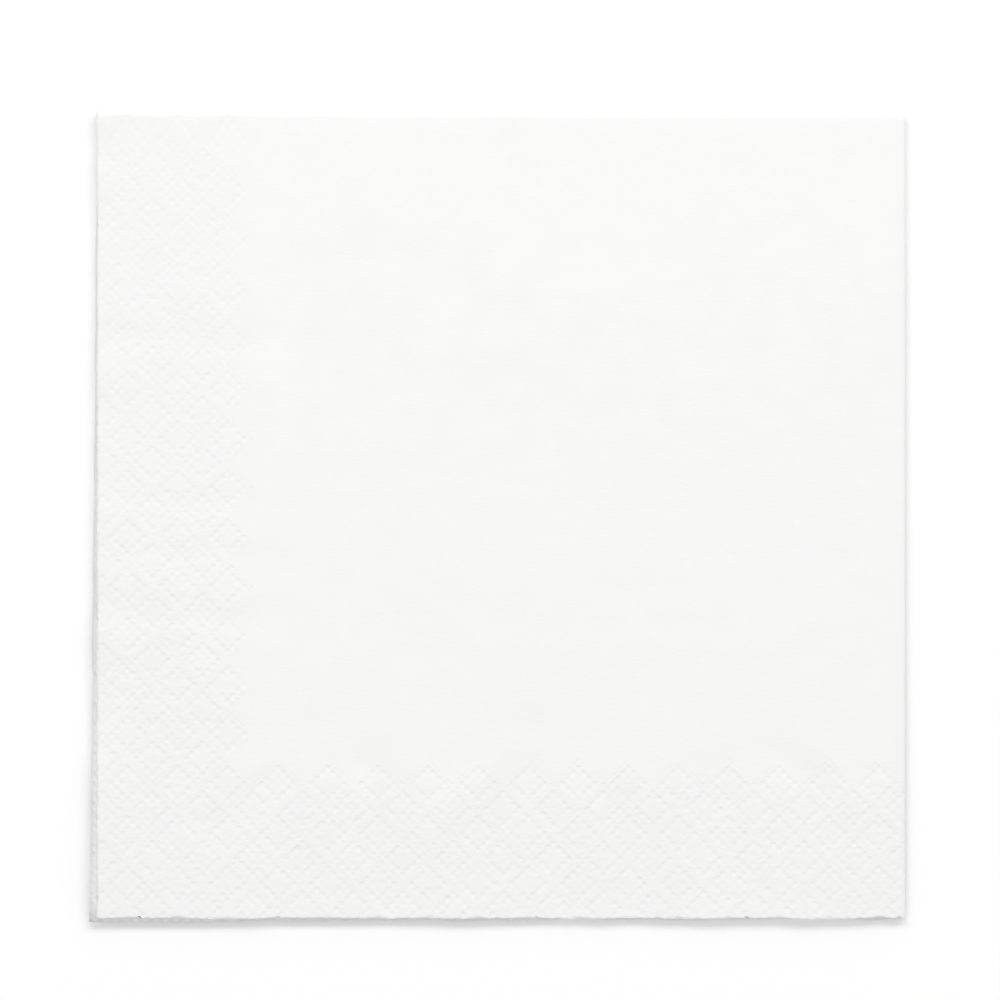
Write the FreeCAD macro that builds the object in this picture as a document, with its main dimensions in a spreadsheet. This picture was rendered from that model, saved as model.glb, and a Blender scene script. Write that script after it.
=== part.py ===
# Paper napkin: one square sheet of two-ply tissue, folded in four, with an embossed border.
#
# The first fold runs down the right side (+X) and joins each outer leaf to its inner leaf.
# The second fold wraps that pair over on itself along the far side (+Y), a little out of square,
# so the upper pair leans one way and the lower pair the other.
# The sheet's cut edges lie along the left (-X) and the near side (-Y), four leaves deep.
# Millimetres and degrees. The origin is the middle of the underside, and +Z is up.

import FreeCAD, Part
import math
import os

import Sketcher
from FreeCAD import Vector

SIZES = [
    ("sheet_width", 330.0, "flat sheet, across the first fold"),
    ("sheet_length", 330.0, "flat sheet, across the second fold"),
    ("tissue_thickness", 0.25, "both plies together"),
    ("leaf_gap", 0.3, "air between an outer leaf and its inner leaf"),
    ("pair_gap", 0.3, "air between the two inner leaves"),
    ("first_fold_offset", 0.4, "first fold, off the middle of the sheet"),
    ("second_fold_offset", 0.25, "second fold, off the middle of the sheet"),
    ("fold_skew", 0.25, "second fold, out of square, in degrees"),
    ("emboss_repeat", 10.25, "one pressed ring to the next along a row"),
    ("border_repeats", 3, "repeats across the embossed border"),
    ("ring_half_diagonal", 3.27, "middle of a ring to the corner of its groove"),
    ("groove_width", 0.8, "a ring's groove, at the sheet's face"),
    ("groove_depth", 0.12, "a ring's groove, at its valley"),
    ("side_inset", 1.17, "first ring's middle, from the sheet's cut side"),
    ("end_inset", 1.9, "first ring's middle, from the sheet's cut end"),
]

# Lengths that follow from the sizes, in the sheet's frame: the second fold begins at y = 0, and
# x and z are measured from the middle of the stack.
FOLDED = [
    ("inner_face", "Sizes.pair_gap / 2"),
    ("inner_back", "Folded.inner_face + Sizes.tissue_thickness"),
    ("outer_back", "Folded.inner_back + Sizes.leaf_gap"),
    ("outer_face", "Folded.outer_back + Sizes.tissue_thickness"),
    ("ring_height", "(Folded.inner_back + Folded.outer_back) / 2"),
    ("ring_inside", "Sizes.leaf_gap / 2"),
    ("ring_outside", "Folded.ring_inside + Sizes.tissue_thickness"),
    ("first_bend", "pi * (Folded.ring_inside + Folded.ring_outside) / 2"),
    ("second_bend", "pi * (Folded.outer_back + Folded.outer_face) / 2"),
    ("outer_width", "(Sizes.sheet_width - Folded.first_bend) / 2 + Sizes.first_fold_offset"),
    ("outer_side", "-(Folded.outer_width + Folded.ring_outside) / 2"),
    ("inner_side", "Folded.outer_side + 2 * Sizes.first_fold_offset"),
    ("fold_side", "Folded.outer_side + Folded.outer_width"),
    ("creep", "(Folded.second_bend - pi * (Folded.inner_face + Folded.inner_back) / 2) / 2"),
    ("leaf_length", "(Sizes.sheet_length - Folded.second_bend) / 2"),
    ("lean", "tan(Sizes.fold_skew)"),
    ("square_cut", "sin(Sizes.fold_skew) * cos(Sizes.fold_skew)"),
    ("upper_length", "Folded.leaf_length + Sizes.second_fold_offset"),
    ("lower_length", "Folded.leaf_length - Sizes.second_fold_offset"),
    ("upper_free_end", "Folded.upper_length - Folded.outer_side * Folded.square_cut"),
    ("upper_fold_end", "Folded.upper_length - Folded.fold_side * Folded.square_cut"),
    ("lower_free_end", "Folded.lower_length + Folded.outer_side * Folded.square_cut"),
    ("lower_fold_end", "Folded.lower_length + Folded.fold_side * Folded.square_cut"),
    ("near_end", "max(Folded.upper_free_end + Folded.creep; Folded.lower_fold_end)"),
]

doc = FreeCAD.newDocument("PaperNapkin")

sizes = doc.addObject("Spreadsheet::Sheet", "Sizes")
for row, (alias, value, meaning) in enumerate(SIZES, start=1):
    sizes.set(f"A{row}", meaning)
    sizes.set(f"B{row}", str(value))
    sizes.setAlias(f"B{row}", alias)
doc.recompute()

folded = doc.addObject("App::VarSet", "Folded")
for name, rule in FOLDED:
    folded.addProperty("App::PropertyFloat", name)
    folded.setExpression(name, rule)
doc.recompute()

body = doc.addObject("PartDesign::Body", "FoldedSheet")
START, END, CENTRE = 1, 2, 3  # the ends and the middle of an edge, as a sketch numbers them


def new_sketch(name, role, height=None):
    """A sketch on one of the body's own planes, raised by an expression if there is one."""
    plane = next(item for item in body.Origin.OriginFeatures if item.Role == role)
    sketch = body.newObject("Sketcher::SketchObject", name)
    sketch.AttachmentSupport = [(plane, "")]
    sketch.MapMode = "FlatFace"
    if height:
        sketch.setExpression("AttachmentOffset.Base.z", height)
    return sketch


def rule_point(across, along):
    """Where a pair of expressions puts a point now."""
    return Vector(folded.evalExpression(across), folded.evalExpression(along), 0)


def bind(sketch, kind, place, rule):
    """Hold one size of a sketch at an expression."""
    now = folded.evalExpression(rule)
    index = sketch.addConstraint(Sketcher.Constraint(kind, *place, now))
    sketch.setExpression(f"Constraints[{index}]", rule)


def draw_outline(sketch, corners):
    """A closed outline of straight edges, with a pair of expressions for each corner."""
    count = len(corners)
    points = [rule_point(across, along) for across, along in corners]
    for edge in range(count):
        sketch.addGeometry(Part.LineSegment(points[edge], points[(edge + 1) % count]))
    for edge in range(count):
        joint = Sketcher.Constraint("Coincident", edge, END, (edge + 1) % count, START)
        sketch.addConstraint(joint)
    for edge, (across, along) in enumerate(corners):
        bind(sketch, "DistanceX", (edge, START), across)
        bind(sketch, "DistanceY", (edge, START), along)


def draw_half_ring(sketch, height):
    """The first fold's section: a half ring that opens to the left, its middle at a height."""
    middle = rule_point("Folded.fold_side", height)
    quarter = math.pi / 2
    arcs = []
    for radius in (folded.ring_outside, folded.ring_inside):
        circle = Part.Circle(middle, Vector(0, 0, 1), radius)
        arcs.append(Part.ArcOfCircle(circle, -quarter, quarter))
    outside, inside = arcs
    sketch.addGeometry([outside, inside])
    sketch.addGeometry(Part.LineSegment(outside.EndPoint, inside.EndPoint))
    sketch.addGeometry(Part.LineSegment(inside.StartPoint, outside.StartPoint))
    for joint in ((0, END, 2, START), (2, END, 1, END), (1, START, 3, START), (3, END, 0, START)):
        sketch.addConstraint(Sketcher.Constraint("Coincident", *joint))
    for arc, radius in ((0, "Folded.ring_outside"), (1, "Folded.ring_inside")):
        bind(sketch, "DistanceX", (arc, CENTRE), "Folded.fold_side")
        bind(sketch, "DistanceY", (arc, CENTRE), height)
        bind(sketch, "DistanceX", (arc, START), "Folded.fold_side")
        bind(sketch, "DistanceX", (arc, END), "Folded.fold_side")
        bind(sketch, "Radius", (arc,), radius)


# Second fold: the lower pair's section turned half round the middle of the far side.


def turn_over(name, sketch):
    """Carry a section of the lower pair round the far side to the upper pair."""
    bend = body.newObject("PartDesign::Revolution", name)
    bend.Profile = sketch
    bend.ReferenceAxis = (next(i for i in body.Origin.OriginFeatures if i.Role == "X_Axis"), [""])
    bend.Angle = 180
    return bend


def leaf_section(side, near_face, far_face):
    """The corners of a lower leaf's section."""
    return [
        (side, f"-{far_face}"),
        ("Folded.fold_side", f"-{far_face}"),
        ("Folded.fold_side", f"-{near_face}"),
        (side, f"-{near_face}"),
    ]


lower_ring = new_sketch("LowerFoldSection", "XZ_Plane")
draw_half_ring(lower_ring, "-Folded.ring_height")
turn_over("FoldCorner", lower_ring)

outer_section = new_sketch("OuterLeafSection", "XZ_Plane")
draw_outline(outer_section, leaf_section("Folded.outer_side", "Folded.outer_back", "Folded.outer_face"))
turn_over("OuterWrap", outer_section)

inner_section = new_sketch("InnerLeafSection", "XZ_Plane")
draw_outline(inner_section, leaf_section("Folded.inner_side", "Folded.inner_face", "Folded.inner_back"))
turn_over("InnerWrap", inner_section)

# The four leaves: each is a plan outline, cut square to its own pair, with its sides leaning.
# An inner leaf creeps out past its outer leaf at the free side, because its bend is shorter.
LEAVES = [
    ("UpperOuterLeaf", 1, "Folded.outer_back", "Folded.outer_side", "Folded.upper", "0"),
    ("UpperInnerLeaf", 1, "Folded.inner_face", "Folded.inner_side", "Folded.upper", "Folded.creep"),
    ("LowerInnerLeaf", -1, "-Folded.inner_back", "Folded.inner_side", "Folded.lower", "Folded.creep"),
    ("LowerOuterLeaf", -1, "-Folded.outer_face", "Folded.outer_side", "Folded.lower", "0"),
]


def leaf_plan(lean, side, pair, creep):
    """A leaf's four corners, from the second fold to its cut end."""
    free_end = f"({pair}_free_end + {creep})"
    fold_end = f"{pair}_fold_end"
    return [
        (side, "0"),
        (f"{side} + {lean} * Folded.lean * {free_end}", f"-{free_end}"),
        (f"Folded.fold_side + {lean} * Folded.lean * {fold_end}", f"-{fold_end}"),
        ("Folded.fold_side", "0"),
    ]


for name, lean, height, side, pair, creep in LEAVES:
    plan = new_sketch(name + "Plan", "XY_Plane", height)
    draw_outline(plan, leaf_plan(lean, side, pair, creep))
    leaf = body.newObject("PartDesign::Pad", name)
    leaf.Profile = plan
    leaf.setExpression("Length", "Sizes.tissue_thickness")

# First fold: the half ring run down each pair's right side, along its lean.
upper_ring = new_sketch("UpperFoldSection", "XZ_Plane")
draw_half_ring(upper_ring, "Folded.ring_height")
for name, lean, section, pair in (
    ("LowerFold", -1, lower_ring, "Folded.lower"),
    ("UpperFold", 1, upper_ring, "Folded.upper"),
):
    fold = body.newObject("PartDesign::Pad", name)
    fold.Profile = section
    fold.UseCustomVector = True
    fold.AlongSketchNormal = True
    fold.Direction = Vector(lean * folded.lean, -1, 0)
    fold.setExpression("Direction.x", f"{lean} * Folded.lean")
    fold.setExpression("Length", f"{pair}_fold_end")

body.setExpression("Placement.Base.y", "(Folded.near_end - Folded.outer_face) / 2")
body.setExpression("Placement.Base.z", "Folded.outer_face")
doc.recompute()

# Embossed border: rings of square grooves, set corner up, in staggered rows along the cut edges.
# The rings are pressed into the two outer leaves, and run off the paper at its cut edges.
groove_spread = math.sqrt(2) * sizes.groove_width / 2  # half a groove, along the ring's diagonal


def diamond(half_diagonal, height):
    """The corners of a square set corner up."""
    turns = [(1, 0), (0, 1), (-1, 0), (0, -1)]
    return [Vector(half_diagonal * x, half_diagonal * y, height) for x, y in turns]


def flat_face(*loops):
    """A flat face between closed loops of corners."""
    return Part.Face([Part.makePolygon([*loop, loop[0]]) for loop in loops])


def ring_die():
    """The ring that presses one groove. It is a V: at its back, which stands as far above the
    sheet's face as its valley lies below, it is twice as wide as the groove."""
    valley = diamond(sizes.ring_half_diagonal, -sizes.groove_depth)
    outside = diamond(sizes.ring_half_diagonal + 2 * groove_spread, sizes.groove_depth)
    inside = diamond(sizes.ring_half_diagonal - 2 * groove_spread, sizes.groove_depth)
    faces = [flat_face(outside, inside)]
    for rim in (outside, inside):
        for corner in range(4):
            after = (corner + 1) % 4
            faces.append(flat_face([valley[corner], valley[after], rim[after], rim[corner]]))
    shell = Part.makeShell(faces)
    shell.sewShape()
    die = Part.makeSolid(shell)
    if die.Volume < 0:
        die.reverse()
    return die


def border_places(leaf_width, leaf_length):
    """Middles of the rings in the L of the border, from the corner of the cut edges. A ring that
    would reach a fold is left out."""
    reach = sizes.ring_half_diagonal + groove_spread
    repeat = sizes.emboss_repeat
    columns = range(int(leaf_width / repeat) + 1)
    rows = range(int(leaf_length / repeat) + 1)
    for stagger in (0, repeat / 2):
        for column in columns:
            for row in rows:
                x = sizes.side_inset + column * repeat + stagger
                y = sizes.end_inset + row * repeat + stagger
                in_border = min(column, row) < sizes.border_repeats
                if in_border and x + reach < leaf_width and y + reach < leaf_length:
                    yield Vector(x, y, 0)


def press_leaf(lean, free_end):
    """The dies on an outer leaf's face, turned with its pair: the lower leaf is pressed from below."""
    die = ring_die()
    if lean < 0:
        die = die.mirror(Vector(0, 0, 0), Vector(0, 0, 1))
    places = border_places(folded.outer_width, free_end)
    pressed = Part.makeCompound([die.translated(place) for place in places])
    pressed.rotate(Vector(0, 0, 0), Vector(0, 0, 1), lean * sizes.fold_skew)
    across = folded.outer_side + lean * folded.lean * free_end
    corner = Vector(across, -free_end, lean * folded.outer_face)
    pressed.translate(corner + body.Placement.Base)
    return pressed


dies = doc.addObject("Part::Feature", "BorderDies")
dies.Shape = Part.makeCompound([
    press_leaf(1, folded.upper_free_end),
    press_leaf(-1, folded.lower_free_end),
])

napkin = doc.addObject("Part::Cut", "Napkin")
napkin.Base = body
napkin.Tool = dies
napkin.Label = "folded_napkin"
doc.recompute()


for item in doc.Objects:
    if {"Invalid", "Error"} & set(item.State):
        raise RuntimeError(f"{item.Label} failed: {item.State}")
shape = napkin.Shape
if shape.isNull() or not shape.isValid() or len(shape.Solids) != 1:
    raise RuntimeError(f"{napkin.Label} isn't one valid solid")

os.makedirs("parts", exist_ok=True)
shape.exportStep(f"parts/{napkin.Label}.step")
print("solids", len(shape.Solids), "faces", len(shape.Faces), "volume", round(shape.Volume, 1))
print("box", shape.BoundBox)
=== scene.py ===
import math
import random

import bpy
import numpy as np
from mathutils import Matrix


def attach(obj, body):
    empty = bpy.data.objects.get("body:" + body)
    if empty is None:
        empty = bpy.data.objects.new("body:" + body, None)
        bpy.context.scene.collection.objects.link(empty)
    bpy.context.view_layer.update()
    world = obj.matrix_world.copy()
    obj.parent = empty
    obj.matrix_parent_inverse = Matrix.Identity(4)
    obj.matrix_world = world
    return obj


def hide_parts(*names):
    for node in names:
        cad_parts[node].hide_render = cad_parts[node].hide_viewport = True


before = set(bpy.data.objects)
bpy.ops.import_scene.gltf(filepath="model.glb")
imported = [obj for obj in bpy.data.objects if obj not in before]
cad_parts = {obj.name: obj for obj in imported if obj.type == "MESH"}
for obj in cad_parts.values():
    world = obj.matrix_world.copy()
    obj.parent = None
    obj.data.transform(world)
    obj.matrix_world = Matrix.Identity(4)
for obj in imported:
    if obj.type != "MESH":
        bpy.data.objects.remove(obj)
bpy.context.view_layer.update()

# The view.
# The napkin is seen from straight above, through a long lens, with its upper pair of leaves upright
# in the picture. Sizes in this file are in millimetres, and MM turns them into metres.
MM = 0.001
fold_lean = math.radians(0.25)
picture_side = 204.5
picture_middle = (0.15, 3.764)
camera_height = 1600.0
top_of_stack = 1.9
film_width = 36.0

lens = bpy.data.cameras.new("above")
lens.sensor_width = film_width
lens.lens = film_width * (camera_height - top_of_stack) / picture_side
lens.clip_start = 0.05
lens.clip_end = 20.0
above = bpy.data.objects.new("above", lens)
above.location = (
    MM * (picture_middle[0] * math.cos(fold_lean) - picture_middle[1] * math.sin(fold_lean)),
    MM * (picture_middle[0] * math.sin(fold_lean) + picture_middle[1] * math.cos(fold_lean)),
    MM * camera_height,
)
above.rotation_euler = (0.0, 0.0, fold_lean)
bpy.context.scene.collection.objects.link(above)
bpy.context.scene.camera = above
bpy.context.scene.view_settings.view_transform = "Standard"
bpy.context.scene.view_settings.look = "None"


# The napkin.
# One square sheet of white two-ply tissue, cut on all four sides, with a border pressed into it
# while it was flat. It is folded in half towards the left, then in half towards the viewer, so that
# the first fold lies on the right, the second at the top, and all cut edges at the left and bottom.
sheet_side = 330.0
tissue = 0.25

# The first fold: the cut sides of the outer and the inner leaves, the nose of the fold, its radius,
# and how far the inner leaf's cut side swings out towards its end, as a slope.
outer_side = -82.684
inner_side = -81.884
nose_side = 82.684
bend_radius = 0.4
inner_lean = 0.0143

# The second fold: where it lies, how far it rolls, the length of the upper and lower pair of leaves
# from it, how much further the inner leaves reach, the place where the leaves' slant starts to run
# out, and the heights of the stack's middle and of a pair's middle from there.
fold_line = 82.114
roll_depth = 0.5
upper_length = 163.954
lower_length = 163.454
creep = 0.864
slant_from = 105.0
stack_middle = top_of_stack / 2.0
pair_middle = 0.55

# The border's rings of dots repeat every 10.245 mm. The sheet was a little stretched along its
# length when it was pressed, so the rings stand closer that way once it has drawn back.
ring_repeat = 10.245
drawn_back = 0.983
side_inset = 1.17
end_inset = 1.9
border_repeats = 3

# The net of the sheet: a fine step is half the distance between the columns of pressed dots, and a
# block of the net is eight steps. The rings' middles lie two steps from the net's side and four
# from its end, after its first step, which runs to the cut edge.
step = ring_repeat / 20.0
block = 8
leaf_blocks, nose_blocks, roll_blocks, border_blocks = 40, 2, 3, 8
leaf_steps = leaf_blocks * block
nose_steps = nose_blocks * block
roll_steps = roll_blocks * block
across_steps = 2 * leaf_steps + nose_steps
along_steps = 2 * leaf_steps + roll_steps


def steps_from_side():
    """The stations across a leaf, measured from its cut side edge."""
    stations = side_inset + step * (np.arange(leaf_steps + 1) - 2.0)
    stations[0] = 0.0
    return stations


def steps_from_end(length):
    """The stations along a leaf, measured from its cut end to where the second fold starts."""
    stations = end_inset + step * (np.arange(leaf_steps + 1) - 4.0)
    stations[0] = 0.0
    border = border_blocks * block
    stations[border:] = stations[border] + drawn_back * (stations[border:] - stations[border])
    last = leaf_steps - block
    stations[last:] = np.linspace(stations[last], length - roll_depth, block + 1)
    return stations


side_stations = steps_from_side()
nose_start = outer_side + side_stations[-1]
upper_stations = steps_from_end(upper_length)
lower_stations = steps_from_end(lower_length)


def smooth(value, low, high):
    """0 below low, 1 above high, and a soft step between."""
    part = np.clip((value - low) / (high - low), 0.0, 1.0)
    return part * part * (3.0 - 2.0 * part)


def steps_in(across, along, outer):
    """How many steps one face spans, across and along, in a block of the net.

    The border of the outer leaves has a face for each step, the folds have small faces too, and the
    plain field and the inner leaves have large ones.
    """
    outer_leaf = across < leaf_blocks
    nose = leaf_blocks <= across < leaf_blocks + nose_blocks
    roll = leaf_blocks <= along < leaf_blocks + roll_blocks
    end_border = along < border_blocks or along >= leaf_blocks * 2 + roll_blocks - border_blocks
    upper = along >= leaf_blocks + roll_blocks
    if not outer:
        return (2 if nose else block), (2 if roll else block)
    if roll:
        return (1 if across < border_blocks else 2 if nose else 4 if outer_leaf else block), 2
    if nose:
        return 2, (1 if end_border else 4)
    if outer_leaf:
        if across < border_blocks or end_border:
            return 1, 1
        return (4, 4) if upper else (block, block)
    return block, block


# Soft waves of the leaves. The pressed border is a little shorter than the plain field, so the
# field puckers beside it. Each crease runs from one point to another, with its rise and its width.
crease_strength = 1.4
deepest_wave = -0.45
creases = (
    (-81.0, 36.5, -48.0, 36.3, -0.15, 2.6),
    (-78.0, 4.0, -48.5, 3.4, -0.10, 2.2),
    (-80.0, -7.5, -50.0, -8.0, -0.08, 2.2),
    (-80.0, -19.0, -46.0, -21.5, -0.12, 2.4),
    (-31.1, -36.0, -27.5, -50.0, -0.20, 2.6),
    (-27.5, -50.0, -22.0, -79.0, -0.24, 2.8),
    (6.7, -43.0, 12.8, -79.0, -0.24, 2.6),
    (26.5, -58.0, 27.8, -79.0, -0.24, 2.4),
    (-38.3, -43.0, -56.0, -63.0, -0.16, 3.0),
    (55.3, -46.0, 66.7, -54.5, -0.16, 2.6),
    (4.2, -46.0, -14.0, -64.0, 0.16, 2.8),
    (33.3, -44.0, 31.0, -58.0, 0.18, 3.0),
    (68.0, -49.0, 72.0, -57.0, 0.14, 2.6),
    (-41.0, -46.0, -50.0, -52.0, 0.12, 2.4),
    (-78.5, -47.0, -78.0, -72.0, 0.14, 4.0),
    (56.8, 45.0, 57.0, -34.0, -0.05, 1.8),
    (69.0, 43.0, 69.3, 3.0, -0.07, 2.0),
    (-24.0, 56.0, 11.0, 37.0, -0.07, 3.0),
    (-5.0, 34.0, 40.0, 47.0, 0.06, 4.0),
    (78.0, -77.5, 78.1, -81.5, -0.07, 0.45),
    (79.2, -77.0, 79.3, -81.5, -0.08, 0.45),
    (80.4, -78.2, 80.4, -81.5, -0.06, 0.45),
)


def wave(x, y):
    """The height of the waves over the whole stack, in millimetres."""
    height = np.zeros_like(x)
    for x0, y0, x1, y1, rise, width in creases:
        run = (x1 - x0) ** 2 + (y1 - y0) ** 2
        part = np.clip(((x - x0) * (x1 - x0) + (y - y0) * (y1 - y0)) / run, 0.0, 1.0)
        away = (x - x0 - part * (x1 - x0)) ** 2 + (y - y0 - part * (y1 - y0)) ** 2
        height += crease_strength * rise * np.exp(-away / (2.0 * width * width))
    draw = random.Random(31)
    for _ in range(9):
        length, turn = draw.uniform(34.0, 95.0), draw.uniform(0.0, math.pi)
        shift, rise = draw.uniform(0.0, 2.0 * math.pi), draw.uniform(0.02, 0.05)
        height += rise * np.sin(
            2.0 * math.pi * (x * math.cos(turn) + y * math.sin(turn)) / length + shift
        )
    return np.maximum(height, deepest_wave)


def ripple(place, seed, shortest, longest, count=7):
    """A soft uneven line along an edge, between about -1 and 1."""
    draw = random.Random(seed)
    height = np.zeros_like(place)
    for _ in range(count):
        length, shift = draw.uniform(shortest, longest), draw.uniform(0.0, 2.0 * math.pi)
        height += np.sin(2.0 * math.pi * place / length + shift) / math.sqrt(count)
    return height


# The leaves spring apart at the folds and cut edges. The upper fold droops over the lower one, and
# the uppermost leaf lifts at its free corner and curls down along its cut end.
droop, droop_width = 0.32, 2.6
corner_lift, corner_width = 0.35, 2.6
end_curl, curl_width = 0.10, 0.9
side_spring, end_spring = 0.22, 0.04
least_gap = -0.22


def leaf_lift(x, y):
    """How far each leaf of the stack is lifted, from the lowest to the uppermost."""
    waves = wave(x, y)
    from_left, from_end = x - outer_side, y - (fold_line - upper_length)
    first_fold = np.exp(-np.maximum(nose_side - x, 0.0) / 5.0)
    second_fold = np.exp(-np.maximum(fold_line + stack_middle - y, 0.0) / 6.0)
    left_edge = np.exp(-np.maximum(from_left, 0.0) / 4.0)
    end_edge = np.exp(-np.maximum(from_end, 0.0) / 4.0)
    corner = np.exp(-(from_left**2 + from_end**2) / (2.0 * corner_width**2))
    lifts, lift = [], 0.0
    for leaf, share in enumerate((0.1, 0.25, 0.25, 0.4)):
        gap = share * waves + (0.04 if leaf == 0 else 0.0)
        unevenness = ripple(y, 40 + leaf, 12.0, 60.0)
        spring = 0.03 * unevenness - 0.2 if leaf == 3 else side_spring + 0.2 * unevenness
        gap = gap + left_edge * spring
        gap = gap + end_edge * end_spring * (1.0 + ripple(x, 50 + leaf, 12.0, 60.0))
        if leaf in (1, 3):
            gap = gap + 0.10 * first_fold
        if leaf == 2:
            gap = gap + 0.12 * second_fold
        if leaf == 3:
            gap = gap + corner_lift * corner
        gap = np.maximum(gap, 0.0 if leaf == 0 else least_gap)
        lift = lift + gap
        lifts.append(lift)
    down = droop * np.clip((x - nose_side + droop_width) / droop_width, 0.0, 1.2) ** 2
    curl = end_curl * np.clip(1.0 - from_end / curl_width, 0.0, 1.0) ** 2
    return lifts[0], lifts[1], lifts[2] - down, lifts[3] - down - curl


side_fray = {"torn": 0.04, "waves": 0.07, "nicks": 0.14}
end_fray = {"torn": 0.10, "waves": 0.14, "nicks": 0.36}


def frayed(place, seed, torn, waves, nicks):
    """How far the cut edge stands back at a place along it: a slightly torn line with nicks."""
    back = 0.05 + torn * ripple(place, seed, 1.3, 5.0, 9)
    back = back + waves * ripple(place, seed + 1, 12.0, 60.0)
    nick = ripple(place, seed + 2, 1.1, 9.0, 6)
    return back + nicks * smooth(nick, 0.7, 1.3)


def fold(i, j, outer):
    """Where the point at station i across and j along comes to lie, on the outer or inner face."""
    # How far each point has gone round the first fold and the second one.
    bend = math.pi * np.clip((i - leaf_steps) / nose_steps, 0.0, 1.0)
    turn = math.pi * np.clip((j - leaf_steps) / roll_steps, 0.0, 1.0)
    side = -np.cos(turn)
    inner_leaf = i > leaf_steps + nose_steps
    reach = np.where(outer, bend_radius, bend_radius - tissue)
    level = pair_middle + reach * np.cos(bend)

    # The first fold, and the inner leaf that comes back from it.
    upper = j > leaf_steps + roll_steps / 2
    from_upper = upper_stations[np.clip(along_steps - j, 0, leaf_steps)]
    from_lower = lower_stations[np.clip(j, 0, leaf_steps)]
    from_end = np.where(upper, from_upper, from_lower)
    length = np.where(upper, upper_length, lower_length)

    back = np.clip((i - leaf_steps - nose_steps) / leaf_steps, 0.0, 1.0)
    x = outer_side + side_stations[np.minimum(i, leaf_steps)]
    x = x + (nose_side - bend_radius - nose_start + reach) * np.sin(bend)
    swung = inner_side - inner_lean * side * (length - from_end)
    x = np.where(inner_leaf, nose_start + back * (swung - nose_start), x)

    # The second fold. The pairs lean apart on both sides of it, and their slant runs out before it.
    skew = -np.where(upper, 1.0, -1.0) * math.tan(fold_lean) * x + creep * back
    slant_left = 1.0 - smooth(from_end, slant_from, length - roll_depth)
    from_fold = length - from_end + skew * slant_left
    on_leaf = (j <= leaf_steps) | (j >= leaf_steps + roll_steps)
    y = np.where(on_leaf, -from_fold, -roll_depth + (level + roll_depth) * np.sin(turn))
    x = x + side * math.tan(fold_lean) * np.where(on_leaf, from_fold, roll_depth)
    y = y + fold_line
    z = stack_middle + side * level

    # The cut edges, each leaf's with its own seed, and then the lifting of the leaves.
    leaf = np.where(upper, 20, 0) + np.where(inner_leaf, 10, 0)
    for code in (0, 10, 20, 30):
        side_edge = ((i == 0) | (i == across_steps)) & (leaf == code)
        x = np.where(side_edge, x + frayed(y, 100 + code, **side_fray), x)
        end_edge = ((j == 0) | (j == along_steps)) & (leaf == code)
        y = np.where(end_edge, y + frayed(x, 200 + code, **end_fray), y)

    lowest, lower, inner, upmost = leaf_lift(x, y)
    inward, upward = (1.0 - np.cos(bend)) / 2.0, (1.0 + side) / 2.0
    z = z + (1.0 - upward) * ((1.0 - inward) * lowest + inward * lower)
    z = z + upward * ((1.0 - inward) * upmost + inward * inner)
    return np.stack((x, y, z), axis=1)


def place_on_sheet(i, j):
    """The same point's place on the flat sheet, from the cut edges of the outer leaves."""
    side = side_inset + step * (i - 2.0)
    back = nose_start - inner_side
    nose = sheet_side - side_stations[-1] - back
    far = side_stations[-1] + nose * np.clip((i - leaf_steps) / nose_steps, 0.0, 1.0)
    far = far + back * np.clip((i - leaf_steps - nose_steps) / leaf_steps, 0.0, 1.0)
    end = end_inset + step * (np.minimum(j, along_steps - j) - 4.0)
    return np.where(i > leaf_steps, far, side), np.where(j > leaf_steps, sheet_side - end, end)


def lay_net():
    """The points and faces of the closed sheet: its outer face, its inner face and its cut rim."""
    numbers, stations = {}, []

    def point(i, j, outer):
        key = (i, j, outer)
        if key not in numbers:
            numbers[key] = len(stations)
            stations.append(key)
        return numbers[key]

    cells = []
    for outer in (True, False):
        for across in range(2 * leaf_blocks + nose_blocks):
            for along in range(2 * leaf_blocks + roll_blocks):
                wide, long = steps_in(across, along, outer)
                for i in range(across * block, (across + 1) * block, wide):
                    for j in range(along * block, (along + 1) * block, long):
                        cells.append((i, j, wide, long, outer))
                        for di, dj in ((0, 0), (wide, 0), (wide, long), (0, long)):
                            point(i + di, j + dj, outer)

    faces = []
    for i, j, wide, long, outer in cells:
        ring = [(i + k, j) for k in range(wide)] + [(i + wide, j + k) for k in range(long)]
        ring += [(i + wide - k, j + long) for k in range(wide)]
        ring += [(i, j + long - k) for k in range(long)]
        face = [numbers[(a, b, outer)] for a, b in ring if (a, b, outer) in numbers]
        faces.append(face[::-1] if outer else face)

    def rim(places):
        """The points that the net has at these places, on its outer and on its inner face."""
        return [
            [numbers[(*place, face)] for place in places if (*place, face) in numbers]
            for face in (True, False)
        ]

    body_faces = len(faces)
    for i in (0, across_steps):
        for j in range(0, along_steps, block):
            outside, inside = rim([(i, j + k) for k in range(block + 1)])
            faces.append(outside[::-1] + inside if i == 0 else outside + inside[::-1])
    for j in (0, along_steps):
        for i in range(0, across_steps, block):
            outside, inside = rim([(i + k, j) for k in range(block + 1)])
            faces.append(outside + inside[::-1] if j == 0 else outside[::-1] + inside)
    return stations, faces, body_faces


stations, faces, body_faces = lay_net()
i = np.array([s[0] for s in stations])
j = np.array([s[1] for s in stations])
outer = np.array([s[2] for s in stations])
points = fold(i, j, outer) * MM
sheet_x, sheet_y = place_on_sheet(i, j)

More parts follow.
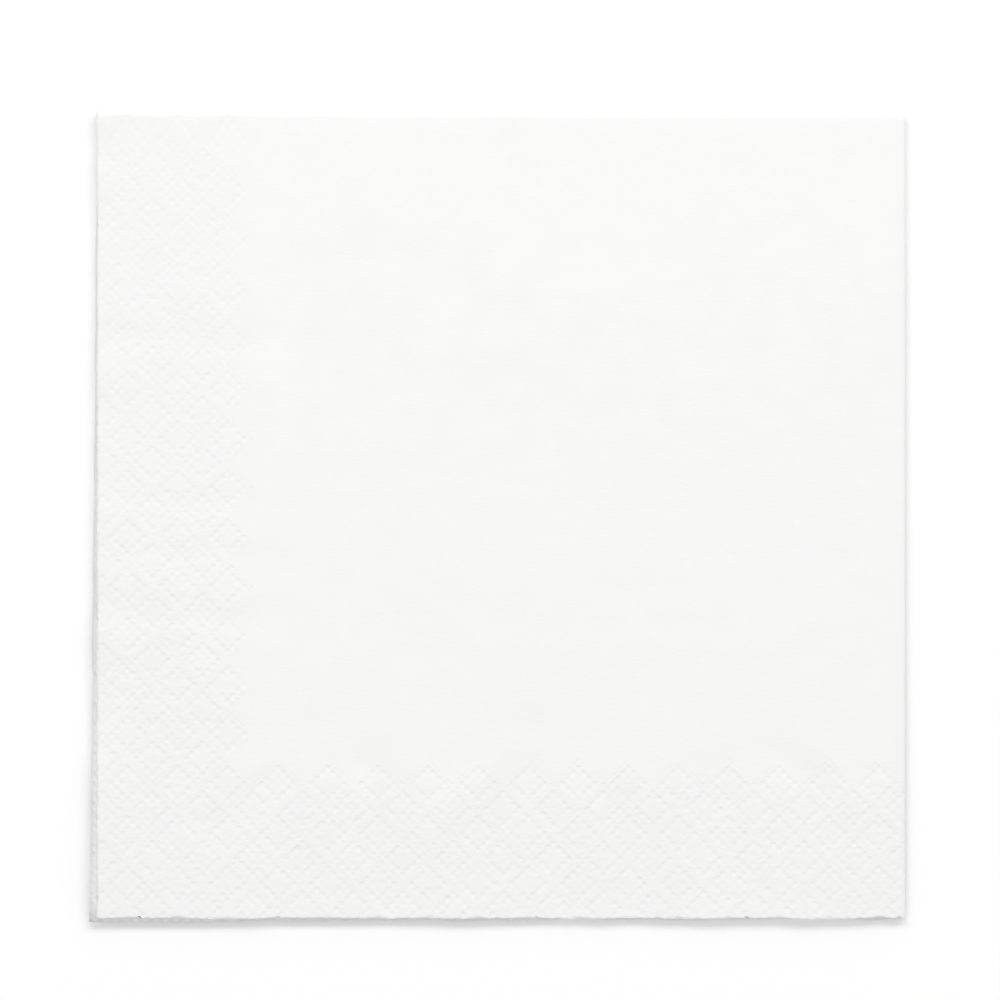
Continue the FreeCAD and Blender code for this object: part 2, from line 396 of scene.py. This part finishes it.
net = bpy.data.meshes.new("folded_sheet")
net.from_pydata(points.tolist(), [], faces)
pressed_leaf = outer & (i <= leaf_steps + nose_steps // 3)
place = net.attributes.new("sheet_place", "FLOAT_VECTOR", "POINT")
place.data.foreach_set(
    "vector", (np.stack((sheet_x, sheet_y, np.zeros_like(sheet_x)), axis=1) * MM).ravel()
)
pressed = net.attributes.new("pressed_leaf", "FLOAT", "POINT")
pressed.data.foreach_set("value", pressed_leaf.astype(float))
net.polygons.foreach_set("use_smooth", [number < body_faces for number in range(len(faces))])
net.update()
sheet = bpy.data.objects.new("folded_sheet", net)
bpy.context.scene.collection.objects.link(sheet)


def work(tree, kind, first, second=None, third=None):
    """One Math node: its inputs are sockets or numbers, and its result is a socket."""
    node = tree.nodes.new("ShaderNodeMath")
    node.operation = kind
    for socket, value in zip(node.inputs, (first, second, third)):
        if value is None:
            continue
        if isinstance(value, bpy.types.NodeSocket):
            tree.links.new(value, socket)
        else:
            socket.default_value = value
    return node.outputs[0]


def soft_step(tree, value, start, end):
    """A Map Range node that runs softly from 0 at start to 1 at end, which may be below start."""
    node = tree.nodes.new("ShaderNodeMapRange")
    node.interpolation_type = "SMOOTHSTEP"
    tree.links.new(value, node.inputs["Value"])
    node.inputs["From Min"].default_value = start
    node.inputs["From Max"].default_value = end
    return node.outputs["Result"]


# The border's rule counts in dots from the leaf's cut side, a, and from its cut end, b. A ring
# repeats every ten, and its dots lie three from its middle along the diagonals u and v.
dots_a_repeat = 10.0
dots_to_ring = 3.0
dots_past_border = 4.0
dot_squareness = 2.6


def diamond_border(tree, across, along, side, repeat, from_side, from_end, repeats):
    """The rule of the border: the depth of the dots and of their rings at a place on the sheet.

    Rings of twelve dots stand on their corners, in a lattice whose middle is filled by one more
    ring. The border ends with whole rings, so its inner edge is a zigzag.
    """
    unit = work(tree, "MULTIPLY", repeat, 1.0 / dots_a_repeat)
    near_side = work(tree, "MINIMUM", across, work(tree, "SUBTRACT", side, across))
    near_end = work(tree, "MINIMUM", along, work(tree, "SUBTRACT", side, along))
    from_edge = work(tree, "MINIMUM", near_side, near_end)
    a = work(tree, "DIVIDE", work(tree, "SUBTRACT", near_side, from_side), unit)
    b = work(tree, "DIVIDE", work(tree, "SUBTRACT", near_end, from_end), unit)
    half = dots_a_repeat / 2.0
    u = work(tree, "WRAP", work(tree, "SUBTRACT", a, b), half, -half)
    v = work(tree, "WRAP", work(tree, "ADD", a, b), half, -half)
    far = work(tree, "MAXIMUM", work(tree, "ABSOLUTE", u), work(tree, "ABSOLUTE", v))
    off_ring = work(tree, "ABSOLUTE", work(tree, "SUBTRACT", far, dots_to_ring))
    ring = work(tree, "SUBTRACT", 1.0, off_ring)

    off_u = work(tree, "WRAP", u, 2.0, 0.0)
    off_v = work(tree, "WRAP", v, 2.0, 0.0)
    off_a = work(tree, "MULTIPLY", work(tree, "ADD", off_u, off_v), 0.5)
    off_a = work(tree, "SUBTRACT", off_a, 1.0)
    off_b = work(tree, "MULTIPLY", work(tree, "SUBTRACT", off_v, off_u), 0.5)
    power_a = work(tree, "POWER", work(tree, "ABSOLUTE", off_a), dot_squareness)
    power_b = work(tree, "POWER", work(tree, "ABSOLUTE", off_b), dot_squareness)
    off = work(tree, "POWER", work(tree, "ADD", power_a, power_b), 1.0 / dot_squareness)

    middle_a = work(tree, "MULTIPLY", work(tree, "ADD", u, v), 0.5)
    middle_a = work(tree, "SUBTRACT", a, middle_a)
    middle_b = work(tree, "MULTIPLY", work(tree, "SUBTRACT", v, u), 0.5)
    middle_b = work(tree, "SUBTRACT", b, middle_b)
    last = work(tree, "MULTIPLY", repeats, dots_a_repeat)
    last = work(tree, "SUBTRACT", last, dots_past_border)
    in_side = work(tree, "LESS_THAN", middle_a, last)
    in_end = work(tree, "LESS_THAN", middle_b, last)
    inside = work(tree, "MAXIMUM", in_side, in_end)
    ring = work(tree, "MULTIPLY", work(tree, "MAXIMUM", ring, 0.0), inside)
    return off, ring, inside, near_end, from_edge, (u, v, unit)


# The pressing of the border moves the points of the two outer leaves: each dot is pushed in, its
# ring a little, and the rings' net is spread so that it follows their corners. The pressing gets
# lighter away from the cut ends, and the crinkled paper beside the border runs out softly.
lighter_from, lighter_to = 30.0 * MM, 165.0 * MM
crinkled_whole, crinkled_to = 25.0 * MM, 32.0 * MM
press = bpy.data.node_groups.new("press_border", "GeometryNodeTree")
press.is_modifier = True
press.interface.new_socket("Sheet", in_out="INPUT", socket_type="NodeSocketGeometry")
press.interface.new_socket("Sheet", in_out="OUTPUT", socket_type="NodeSocketGeometry")
press_sizes = (
    ("Sheet Side", sheet_side * MM),
    ("Ring Repeat", ring_repeat * MM),
    ("Side Inset", side_inset * MM),
    ("End Inset", end_inset * MM),
    ("Border Repeats", float(border_repeats)),
    ("Dot Depth", 0.075 * MM),
    ("Ring Depth", 0.012 * MM),
    ("Ring Spread", 0.21),
    ("Light Press", 0.5),
    ("Crinkle", 0.10 * MM),
    ("Seed", 5.0),
)
sizes = {}
for name, value in press_sizes:
    sizes[name] = press.interface.new_socket(name, in_out="INPUT", socket_type="NodeSocketFloat")
    sizes[name].default_value = value
tissue_input = press.interface.new_socket(
    "Tissue", in_out="INPUT", socket_type="NodeSocketMaterial"
)

entry = press.nodes.new("NodeGroupInput")
place_of = press.nodes.new("GeometryNodeInputNamedAttribute")
place_of.data_type = "FLOAT_VECTOR"
place_of.inputs["Name"].default_value = "sheet_place"
split = press.nodes.new("ShaderNodeSeparateXYZ")
press.links.new(place_of.outputs["Attribute"], split.inputs[0])
off, ring, inside, near_end, from_edge, (u, v, unit) = diamond_border(
    press,
    split.outputs[0],
    split.outputs[1],
    entry.outputs["Sheet Side"],
    entry.outputs["Ring Repeat"],
    entry.outputs["Side Inset"],
    entry.outputs["End Inset"],
    entry.outputs["Border Repeats"],
)
dot = work(press, "SUBTRACT", 1.0, soft_step(press, off, 0.05, 0.75))
dot = work(press, "MULTIPLY", dot, soft_step(press, ring, 0.0, 0.6))
depth = work(press, "MULTIPLY", dot, entry.outputs["Dot Depth"])
depth = work(press, "ADD", depth, work(press, "MULTIPLY", ring, entry.outputs["Ring Depth"]))


def crinkle(scale, shift):
    """Seeded noise on the flat sheet, between about -0.5 and 0.5."""
    noise = press.nodes.new("ShaderNodeTexNoise")
    noise.noise_dimensions = "4D"
    press.links.new(place_of.outputs["Attribute"], noise.inputs["Vector"])
    press.links.new(work(press, "ADD", entry.outputs["Seed"], shift), noise.inputs["W"])
    noise.inputs["Scale"].default_value = scale
    noise.inputs["Detail"].default_value = 2.0
    return work(press, "SUBTRACT", noise.outputs[0], 0.5)


depth = work(press, "MULTIPLY", depth, work(press, "MULTIPLY_ADD", crinkle(260.0, 3.0), 2.4, 1.0))
uneven = work(press, "MULTIPLY", crinkle(560.0, 0.0), entry.outputs["Crinkle"])
uneven = work(press, "MULTIPLY", uneven, soft_step(press, from_edge, crinkled_to, crinkled_whole))
depth = work(press, "ADD", depth, uneven)
lighter = soft_step(press, near_end, lighter_from, lighter_to)
lighter = work(press, "MULTIPLY", lighter, entry.outputs["Light Press"])
depth = work(press, "MULTIPLY", depth, work(press, "SUBTRACT", 1.0, lighter))
leaf_of = press.nodes.new("GeometryNodeInputNamedAttribute")
leaf_of.data_type = "FLOAT"
leaf_of.inputs["Name"].default_value = "pressed_leaf"
depth = work(press, "MULTIPLY", depth, leaf_of.outputs["Attribute"])
facing = press.nodes.new("GeometryNodeInputNormal")
push = press.nodes.new("ShaderNodeVectorMath")
push.operation = "SCALE"
press.links.new(facing.outputs[0], push.inputs[0])
press.links.new(work(press, "MULTIPLY", depth, -1.0), push.inputs["Scale"])
upright = press.nodes.new("ShaderNodeSeparateXYZ")
press.links.new(facing.outputs[0], upright.inputs[0])
flat = work(press, "MULTIPLY", work(press, "POWER", upright.outputs[2], 2.0), inside)
flat = work(press, "MULTIPLY", flat, leaf_of.outputs["Attribute"])
spread = work(press, "MULTIPLY", work(press, "MULTIPLY", unit, 0.5), entry.outputs["Ring Spread"])
spread = work(press, "MULTIPLY", spread, flat)
around = 2.0 * math.pi / dots_a_repeat
wide_u = work(press, "SINE", work(press, "MULTIPLY", u, around))
wide_v = work(press, "SINE", work(press, "MULTIPLY", v, around))
shift = press.nodes.new("ShaderNodeCombineXYZ")
shift_x = work(press, "MULTIPLY", work(press, "ADD", wide_v, wide_u), spread)
shift_y = work(press, "MULTIPLY", work(press, "SUBTRACT", wide_v, wide_u), spread)
press.links.new(shift_x, shift.inputs[0])
press.links.new(shift_y, shift.inputs[1])
both = press.nodes.new("ShaderNodeVectorMath")
press.links.new(push.outputs[0], both.inputs[0])
press.links.new(shift.outputs[0], both.inputs[1])
move = press.nodes.new("GeometryNodeSetPosition")
press.links.new(entry.outputs["Sheet"], move.inputs["Geometry"])
press.links.new(both.outputs[0], move.inputs["Offset"])
whole = press.nodes.new("GeometryNodeRealizeInstances")
press.links.new(move.outputs[0], whole.inputs[0])
finish = press.nodes.new("GeometryNodeSetMaterial")
press.links.new(whole.outputs[0], finish.inputs["Geometry"])
press.links.new(entry.outputs["Tissue"], finish.inputs["Material"])
leave = press.nodes.new("NodeGroupOutput")
press.links.new(finish.outputs[0], leave.inputs[0])

# The tissue: white pulp, creped across the sheet, soft and matt. Near the cut edges, over the
# border and the puckers beside it, the colour is made a little darker as painted shade of their
# relief, and the border's dots are a little smoother.
paper = bpy.data.materials.new("white_tissue")
paper.use_nodes = True
look = paper.node_tree
look.nodes.clear()
surface = look.nodes.new("ShaderNodeBsdfPrincipled")
result = look.nodes.new("ShaderNodeOutputMaterial")
look.links.new(surface.outputs[0], result.inputs["Surface"])
surface.inputs["Specular IOR Level"].default_value = 0.15
surface.inputs["Sheen Weight"].default_value = 0.08
surface.inputs["Sheen Roughness"].default_value = 0.6
where = look.nodes.new("ShaderNodeAttribute")
where.attribute_name = "sheet_place"
parts = look.nodes.new("ShaderNodeSeparateXYZ")
look.links.new(where.outputs["Vector"], parts.inputs[0])
off, ring, inside, near_end, from_edge, _ = diamond_border(
    look,
    parts.outputs[0],
    parts.outputs[1],
    sheet_side * MM,
    ring_repeat * MM,
    side_inset * MM,
    end_inset * MM,
    float(border_repeats),
)
dot = work(look, "SUBTRACT", 1.0, soft_step(look, off, 0.08, 0.82))
lighter = work(look, "MULTIPLY", soft_step(look, near_end, lighter_from, lighter_to), 0.5)
lighter = work(look, "SUBTRACT", 1.0, lighter)
press_force = work(look, "MULTIPLY", lighter, inside)
# Nearness to the cut edges: it sets where the paper rumples in the bump, and where the colour
# carries painted shade.
edge_rumple_and_painted_shade = soft_step(look, from_edge, 37.0 * MM, 21.0 * MM)


def grain(scale, stretch, detail):
    """Noise on the flat sheet, stretched along the crepe lines, with a size of 1 / scale metres."""
    turn = look.nodes.new("ShaderNodeMapping")
    turn.inputs["Scale"].default_value = (scale / stretch, scale, scale)
    look.links.new(where.outputs["Vector"], turn.inputs["Vector"])
    noise = look.nodes.new("ShaderNodeTexNoise")
    noise.inputs["Scale"].default_value = 1.0
    noise.inputs["Detail"].default_value = detail
    look.links.new(turn.outputs[0], noise.inputs["Vector"])
    return noise.outputs[0]


crepe = grain(1900.0, 3.5, 3.0)
fibre = grain(5200.0, 1.6, 2.0)
cloud = grain(160.0, 1.3, 3.0)
streak = grain(420.0, 4.5, 2.0)

# The paper between the rings keeps faint marks of the same dots, here and there.
faint = work(look, "MULTIPLY", soft_step(look, grain(230.0, 1.0, 1.0), 0.46, 0.60), 0.75)
uneven = work(look, "MULTIPLY_ADD", grain(300.0, 1.0, 2.0), 3.2, -0.6)
marked = work(look, "MAXIMUM", soft_step(look, ring, 0.0, 0.35), faint)
dot = work(look, "MULTIPLY", dot, marked)
dot = work(look, "MULTIPLY", dot, work(look, "MULTIPLY", uneven, press_force))
rumple = work(look, "MULTIPLY", grain(760.0, 1.4, 2.0), lighter)
rumple = work(look, "MULTIPLY", rumple, edge_rumple_and_painted_shade)
height = work(look, "MULTIPLY", crepe, 0.5)
height = work(look, "ADD", height, work(look, "MULTIPLY", fibre, 0.25))
height = work(look, "ADD", height, work(look, "MULTIPLY", rumple, 1.9))
height = work(look, "SUBTRACT", height, work(look, "MULTIPLY", dot, 0.95))
bump = look.nodes.new("ShaderNodeBump")
bump.inputs["Strength"].default_value = 0.7
bump.inputs["Distance"].default_value = 0.10 * MM
look.links.new(height, bump.inputs["Height"])
look.links.new(bump.outputs[0], surface.inputs["Normal"])

tone = work(look, "ADD", work(look, "MULTIPLY", cloud, 0.03), 0.813)
tone = work(look, "ADD", tone, work(look, "MULTIPLY", crepe, 0.012))
tone = work(look, "ADD", tone, work(look, "MULTIPLY", streak, 0.012))
# Painted shade: the colour is made a little darker near the cut edges, standing in for the shade of
# the border's relief and puckers.
tone = work(look, "SUBTRACT", tone, work(look, "MULTIPLY", edge_rumple_and_painted_shade, 0.012))
colour = look.nodes.new("ShaderNodeCombineColor")
look.links.new(tone, colour.inputs[0])
look.links.new(tone, colour.inputs[1])
look.links.new(work(look, "MULTIPLY", tone, 0.995), colour.inputs[2])
look.links.new(colour.outputs[0], surface.inputs["Base Color"])
rough = work(look, "SUBTRACT", 0.95, work(look, "MULTIPLY", dot, 0.15))
look.links.new(rough, surface.inputs["Roughness"])

pressing = sheet.modifiers.new("press_border", "NODES")
pressing.node_group = press
for name, value in press_sizes:
    pressing[sizes[name].identifier] = value
pressing[tissue_input.identifier] = paper
seen = sheet.evaluated_get(bpy.context.evaluated_depsgraph_get())
pressed_mesh = bpy.data.meshes.new_from_object(seen)
sheet.modifiers.clear()
napkin = bpy.data.objects.new("napkin", pressed_mesh)
bpy.context.scene.collection.objects.link(napkin)
bpy.data.objects.remove(sheet)

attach(napkin, "root")
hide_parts("folded_napkin")


# The floor and the light.
# A plain white sheet of card under the napkin, a wide soft light beyond its top edge, and an even
# pale light all round.
floor_mesh = bpy.data.meshes.new("floor")
half = 3.0
floor_mesh.from_pydata(
    [(-half, -half, 0.0), (half, -half, 0.0), (half, half, 0.0), (-half, half, 0.0)],
    [],
    [(0, 1, 2, 3)],
)
floor = bpy.data.objects.new("floor", floor_mesh)
bpy.context.scene.collection.objects.link(floor)
card = bpy.data.materials.new("white_card")
card.use_nodes = True
card_surface = card.node_tree.nodes["Principled BSDF"]
card_surface.inputs["Base Color"].default_value = (0.93, 0.93, 0.93, 1.0)
card_surface.inputs["Roughness"].default_value = 1.0
card_surface.inputs["Specular IOR Level"].default_value = 0.0
floor_mesh.materials.append(card)

window = bpy.data.lights.new("window", "AREA")
window.shape = "RECTANGLE"
window.size = 2.0
window.size_y = 0.5
window.energy = 9.6
window_light = bpy.data.objects.new("window", window)
window_light.location = (0.0, 0.90, 1.00)
window_light.rotation_euler = (math.radians(-42.0), 0.0, 0.0)
bpy.context.scene.collection.objects.link(window_light)

room = bpy.data.worlds.new("room")
room.use_nodes = True
room.node_tree.nodes["Background"].inputs["Color"].default_value = (1.0, 1.0, 1.0, 1.0)
room.node_tree.nodes["Background"].inputs["Strength"].default_value = 0.81
bpy.context.scene.world = room
